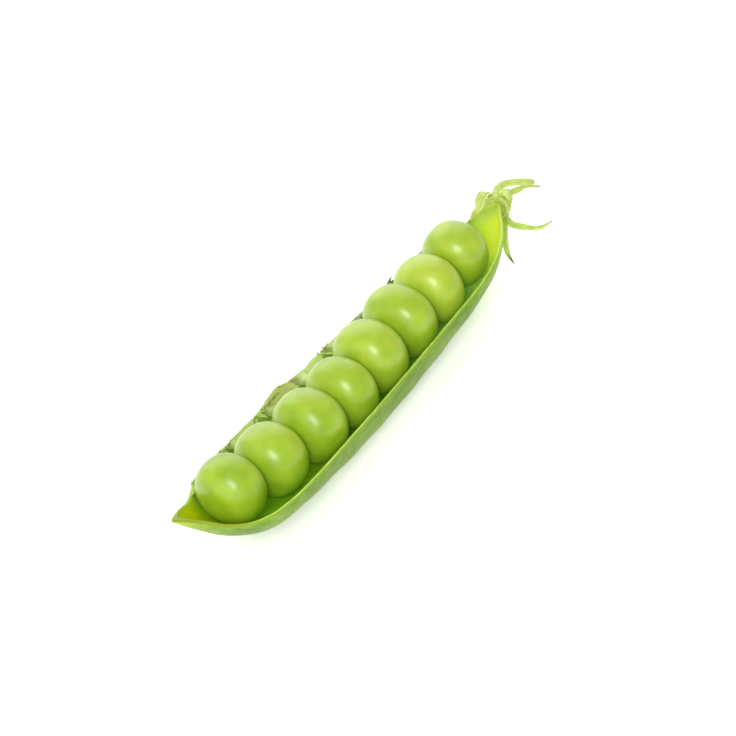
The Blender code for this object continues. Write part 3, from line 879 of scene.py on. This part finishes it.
# Of each sepal: its name, the midrib from the root to the tip, the half width, the way across the
# blade, and how much of its tip has dried.
SEPALS = (
    (
        "top",
        ((41.1, 1.2, 2.35), (41.4, 0.9, 3.3), (41.35, 0.1, 3.95), (40.85, -0.9, 3.85),
         (40.05, -1.6, 3.35), (39.25, -1.9, 2.75)),
        1.0, (0.88, -0.48, 0.0), 0.0,
    ),
    (
        "far",
        ((41.3, 0.4, 1.85), (42.4, -0.1, 2.9), (43.4, -0.8, 3.1), (44.4, -1.5, 2.9),
         (45.4, -2.2, 2.4), (46.3, -2.8, 2.0)),
        0.8, (0.53, 0.85, 0.0), 0.05,
    ),
    (
        "dorsal",
        ((40.7, 0.1, 0.4), (39.8, -0.8, -0.1), (39.25, -2.4, -0.55), (39.7, -4.7, -0.8),
         (40.5, -6.3, -0.65), (41.5, -7.6, -0.1)),
        0.85, (0.05, 0.28, -0.96), 0.04,
    ),
    (
        "under",
        ((40.8, 0.8, 0.05), (39.5, 0.2, -0.4), (38.0, -0.7, -1.2), (37.0, -1.4, -2.5),
         (36.4, -2.0, -4.1), (36.2, -3.1, -5.7)),
        0.85, (0.55, -0.81, -0.2), 0.14,
    ),
    (
        "ventral",
        ((41.2, 2.9, 1.9), (41.3, 3.2, 2.6), (40.4, 3.3, 3.0), (39.1, 3.2, 2.7),
         (37.9, 2.7, 2.5), (36.6, 2.8, 2.6), (35.2, 2.5, 2.4), (34.2, 2.4, 2.3)),
        1.0, (0.1, 1.0, 0.1), 0.06,
    ),
)
SEPAL_EDGE = 0.2
SEPAL_MIDDLE = 0.5
SEPAL_CUPPING = 0.35
SEPAL_RUFFLE = 0.2
SEPAL_RUFFLES = 11
SEPAL_RAGGED = 0.08
SEPAL_ROOT_WIDTH = 0.6
SEPAL_RIB = 0.08
SEPAL_RIB_WIDTH = 0.16
# Drying starts this many times the dried share before the tip, and takes this many times of it.
SEPAL_DRIES_FROM = 1.6
SEPAL_DRIES_OVER = 1.1
SEPAL_ROWS = 70
SEPAL_SIDES = 28


def curve_through(points, share):
    """The point at a share of the way along a smooth curve through the points."""
    steps = [float(i) for i in range(len(points))]
    at = share * (len(points) - 1)
    return Vector([smooth_between(list(zip(steps, axis)), at) for axis in zip(*points)])


def heading(points, share, step=0.02):
    """The direction of that curve there, from the points a step before and after it."""
    before = curve_through(points, max(0.0, share - step))
    return (curve_through(points, min(1.0, share + step)) - before).normalized()


def sepal_leaf():
    """Sepal: thin soft leaf, yellow-green with paler veins lengthwise, matt with a faint shine, and
    see-through enough to glow against the light. The driest tips are brown-black."""
    material, tree = new_material("wilted_sepal_leaf")
    _, part = marks(tree)
    place = object_place(tree)
    patches = cloud(tree, place, 1000 / 2.2, 4.0)
    colour = ramp(tree, (patches, "Fac"), (0.28, "#7E9A30"), (0.5, "#A4BE4C"), (0.72, "#CBDC74"))
    # Veins run lengthwise, three across a blade.
    ripple = maths(tree, "COSINE", maths(tree, "MULTIPLY", (part, "Y"), 3.5 * math.pi))
    colour = turning(tree, colour, "#E6EFB4", ripple, 0.55, 1.0, 0.4)
    # The sepals toward the dorsal side are greener, and those toward the ventral side paler.
    side = add(tree, "ShaderNodeSeparateXYZ", {}, {"Vector": place})
    colour = turning(tree, colour, "#E6F08C", (side, "Y"), -0.005, 0.002, 0.4)
    colour = turning(tree, colour, "#4A4A2E", (part, "Z"), 0.0, 1.0, 0.95)
    finish_material(
        tree,
        Base_Color=colour,
        Roughness=0.5,
        IOR=1.42,
        Subsurface_Weight=0.35,
        Subsurface_Radius=(0.7, 1.0, 0.3),
        Subsurface_Scale=0.0008,
        Normal=relief(tree, ripple, 0.5, 0.00008),
    )
    return material


def cup_point(u, k):
    """The cup: its slant mouth is flattened, and its back is round and shifted onto the stalk."""
    radius, x, slant = curve_through(CUP_PROFILE, u)
    radius = 0.0 if u in (0.0, 1.0) else max(0.0, radius)
    angle = 2 * math.pi * k / CUP_SIDES
    behind = min(1.0, max(0.0, (x - CUP_FLOOR) / (CUP_BACK - CUP_FLOOR))) if u > 0.5 else 0.0
    flatness = CUP_FLATNESS + (1 - CUP_FLATNESS) * behind
    up = math.sin(angle)
    ribbed = radius + CUP_RIB_HEIGHT * math.cos(CUP_RIBS * angle) * (u > CUP_OUTSIDE) * min(1.0, radius)
    point = Vector((x + slant * up, CUP_SIDE + ribbed * math.cos(angle), CUP_HEIGHT + ribbed * flatness * up))
    return point + CUP_BACK_SHIFT * behind, (u, CUP_VEINS * math.cos(CUP_RIBS * angle), 0.0)


SEPAL_LEAF = sepal_leaf()
cup = rolled_skin("leafy_calyx", CUP_ROWS, CUP_SIDES, cup_point, [SEPAL_LEAF])
blades = []
for number, (name, midrib, half_width, across_blade, dried) in enumerate(SEPALS):
    midrib = [Vector(point) for point in midrib]

    def sepal_point(u, k):
        ahead = heading(midrib, u)
        side = (Vector(across_blade) - ahead * ahead.dot(Vector(across_blade))).normalized()
        up = side.cross(ahead)
        angle = 2 * math.pi * k / SEPAL_SIDES
        body = 1.0 if 0.0 < u < 1.0 else 0.0
        ragged = 1 + SEPAL_RAGGED * noise.noise(Vector((u * 9, number * 4.0, 0.0)))
        from_root = SEPAL_ROOT_WIDTH + (1 - SEPAL_ROOT_WIDTH) * min(1.0, 4 * u)
        width = body * half_width * ragged * (1.0 - u**2) * from_root
        reach = math.cos(angle)
        thick = SEPAL_EDGE + (SEPAL_MIDDLE - SEPAL_EDGE) * max(0.0, 1 - abs(reach)) ** 1.5
        thick *= body * math.sqrt(1.0 - u**5) / 2
        ruffle = SEPAL_RUFFLE * reach**3 * math.sin(SEPAL_RUFFLES * u + number * 2 + 1.5 * reach) * body
        rib = SEPAL_RIB * body * math.exp(-((reach / SEPAL_RIB_WIDTH) ** 2)) * math.sin(angle) * (1 - u)
        lift = math.sin(angle) * thick + SEPAL_CUPPING * (reach * width) ** 2 + ruffle + rib
        dry = max(0.0, (u - 1 + dried * SEPAL_DRIES_FROM) / (dried * SEPAL_DRIES_OVER + 1e-6))
        return curve_through(midrib, u) + side * (reach * width) + up * lift, (u, reach, dry)

    blades.append(rolled_skin(f"sepal_{name}", SEPAL_ROWS, SEPAL_SIDES, sepal_point, [SEPAL_LEAF]))
join(cup, *blades)
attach(cup, "root")
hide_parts("calyx")


# ------------------------------------------------------------------------------------- the pedicel
# The last few millimetres of the flower stalk, a round ribbed stem that is part of the same growth
# as the cup. It was nipped off, so its end is a little crushed and drier.
PEDICEL_RADIUS = 0.58
PEDICEL_ROOT = 1.2
PEDICEL_NARROWING = 0.3
PEDICEL_NARROWS_BY = 0.65
PEDICEL_ROUTE = (
    (43.0, 2.7, 2.25),
    (43.55, 2.75, 2.3),
    (44.4, 2.6, 2.4),
    (45.5, 1.9, 2.15),
    (46.8, 0.8, 1.65),
    (48.1, -0.5, 0.95),
)
PEDICEL_RIBS = 5
PEDICEL_RIB_HEIGHT = 0.05
PEDICEL_VEINS = 0.2
# The end narrows to this share of its radius, at this rate.
PEDICEL_CRUSHED = 0.55
PEDICEL_CRUSHES_AT = 8
PEDICEL_DRIES_FROM = 0.93
PEDICEL_DRIES_OVER = 0.14
PEDICEL_ROWS = 70
PEDICEL_SIDES = 30
pedicel_route = [Vector(point) for point in PEDICEL_ROUTE]


def pedicel_point(u, k):
    """The stalk, which narrows away from the cup and is crushed at its cut end."""
    ahead = heading(pedicel_route, u)
    side = ahead.cross(Vector((0.0, 0.0, 1.0))).normalized()
    over = side.cross(ahead)
    angle = 2 * math.pi * k / PEDICEL_SIDES
    narrowed = math.sin(math.pi / 2 * min(1.0, u / PEDICEL_NARROWS_BY))
    radius = PEDICEL_RADIUS * (PEDICEL_ROOT - PEDICEL_NARROWING * narrowed)
    radius *= 1 + PEDICEL_RIB_HEIGHT * math.cos(PEDICEL_RIBS * angle)
    radius *= 0.0 if u in (0.0, 1.0) else min(1.0, PEDICEL_CRUSHES_AT * (1 - u) + PEDICEL_CRUSHED)
    reach = side * (radius * math.cos(angle)) + over * (radius * math.sin(angle))
    dry = max(0.0, (u - PEDICEL_DRIES_FROM) / PEDICEL_DRIES_OVER)
    return curve_through(pedicel_route, u) + reach, (u, PEDICEL_VEINS * math.cos(PEDICEL_RIBS * angle), dry)


pedicel = rolled_skin("cut_pedicel", PEDICEL_ROWS, PEDICEL_SIDES, pedicel_point, [SEPAL_LEAF])
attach(pedicel, "root")
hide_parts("pedicel")


# ------------------------------------------------------------------ the white table and the lights
# A matt white sheet that the pod lies on, curved up behind it. A soft light beside the camera puts a
# bright spot on each pea, a broad one behind lights their far sides, and a weak one low beyond the
# beak lights the front of the first pea. The sheet's sizes are in metres.
SHEET_FRONT = 2.6
SHEET_FLAT = 1.2
SHEET_BEND = 0.8
SHEET_TOP = 2.2
SHEET_HALF_WIDTH = 3.0
SHEET_TURN = math.radians(68)
BEND_STEPS = 12
ROOM_LIGHT = 0.36


def white_sheet():
    """Matt white paper, so bright that the pod's shadow all but vanishes in it."""
    material, tree = new_material("matt_white_paper")
    grain = cloud(tree, object_place(tree), 1000 / 1.5, 3.0)
    white = ramp(tree, (grain, "Fac"), (0.3, "#F8F8F7"), (0.7, "#FCFCFB"))
    finish_material(
        tree,
        Base_Color=white,
        Roughness=0.9,
        Specular_IOR_Level=0.1,
        Emission_Color=white,
        Emission_Strength=0.35,
    )
    return material


bends = [math.pi / 2 * i / BEND_STEPS for i in range(BEND_STEPS + 1)]
profile = [(SHEET_FLAT + SHEET_BEND * math.sin(a), SHEET_BEND * (1 - math.cos(a))) for a in bends]
profile = [(-SHEET_FRONT, 0.0), *profile, (SHEET_FLAT + SHEET_BEND, SHEET_TOP)]
bm = bmesh.new()
line = [bm.verts.new((ahead, -SHEET_HALF_WIDTH, height)) for ahead, height in profile]
edges = [bm.edges.new(ends) for ends in zip(line, line[1:])]
across = bmesh.ops.extrude_edge_only(bm, edges=edges)["geom"]
across = [vertex for vertex in across if isinstance(vertex, bmesh.types.BMVert)]
bmesh.ops.translate(bm, verts=across, vec=(0.0, 2 * SHEET_HALF_WIDTH, 0.0))
bm.normal_update()
bmesh.ops.recalc_face_normals(bm, faces=bm.faces)
bm.transform(Matrix.Rotation(SHEET_TURN, 4, "Z"))
for face in bm.faces:
    face.smooth = True
mesh = bpy.data.meshes.new("white_table")
bm.to_mesh(mesh)
bm.free()
mesh.materials.append(white_sheet())
table = bpy.data.objects.new("white_table", mesh)
bpy.context.scene.collection.objects.link(table)

scene = bpy.context.scene
world = bpy.data.worlds.new("white_room")
world.use_nodes = True
world.node_tree.nodes["Background"].inputs["Color"].default_value = (1.0, 1.0, 1.0, 1.0)
world.node_tree.nodes["Background"].inputs["Strength"].default_value = ROOM_LIGHT
scene.world = world
scene.view_settings.view_transform = "Standard"

# The camera: its right, its down and its forward in the pod's frame, and how far along them the
# frame's origin lies from it, in millimetres.
RIGHT = Vector((0.5497, -0.8101, -0.20387))
DOWN = Vector((-0.59064, -0.20432, -0.78064))
FORWARD = Vector((0.59075, 0.54953, -0.59079))
CAMERA_PLACE = -(RIGHT * -1.418 + DOWN * 0.909 + FORWARD * 427.023)
CAMERA_LENS = 146.74
# Of each light: its name, how far it stands from the pod's middle to the camera's right, down and
# forward, the way of its long side, its width and height in metres, and its power in watts.
POD_MIDDLE = Vector((2.0, 0.0, 0.0))
LIGHTS = (
    ("soft_light_by_camera", (-45, -15, -520), RIGHT * 0.8 + DOWN * 0.6, 0.22, 0.18, 1.7),
    ("broad_light_behind", (-230, -720, 200), RIGHT, 1.3, 0.9, 5.2),
    ("weak_light_beyond_beak", (-270, 205, -415), RIGHT, 0.8, 0.38, 0.9),
)


def facing(place, right, up, back):
    """A matrix that stands an object at a place of the pod's frame, looking against back."""
    turn = Matrix((right, up, back)).transposed().to_4x4()
    return Matrix.Translation(TO_FRAME @ place) @ turn


camera = bpy.data.objects.new("camera", bpy.data.cameras.new("camera"))
camera.data.lens = CAMERA_LENS
camera.data.sensor_width = 36.0
camera.data.clip_end = 20.0
camera.matrix_world = facing(CAMERA_PLACE, RIGHT, -DOWN, -FORWARD)
scene.collection.objects.link(camera)
scene.camera = camera

for name, (to_right, down, forward), long_way, width, height, power in LIGHTS:
    light = bpy.data.lights.new(name, "AREA")
    light.shape = "RECTANGLE"
    light.size, light.size_y, light.energy = width, height, power
    place = POD_MIDDLE + RIGHT * to_right + DOWN * down + FORWARD * forward
    back = (place - POD_MIDDLE).normalized()
    up = back.cross(long_way).normalized()
    softbox = bpy.data.objects.new(name, light)
    softbox.matrix_world = facing(place, up.cross(back), up, back)
    scene.collection.objects.link(softbox)
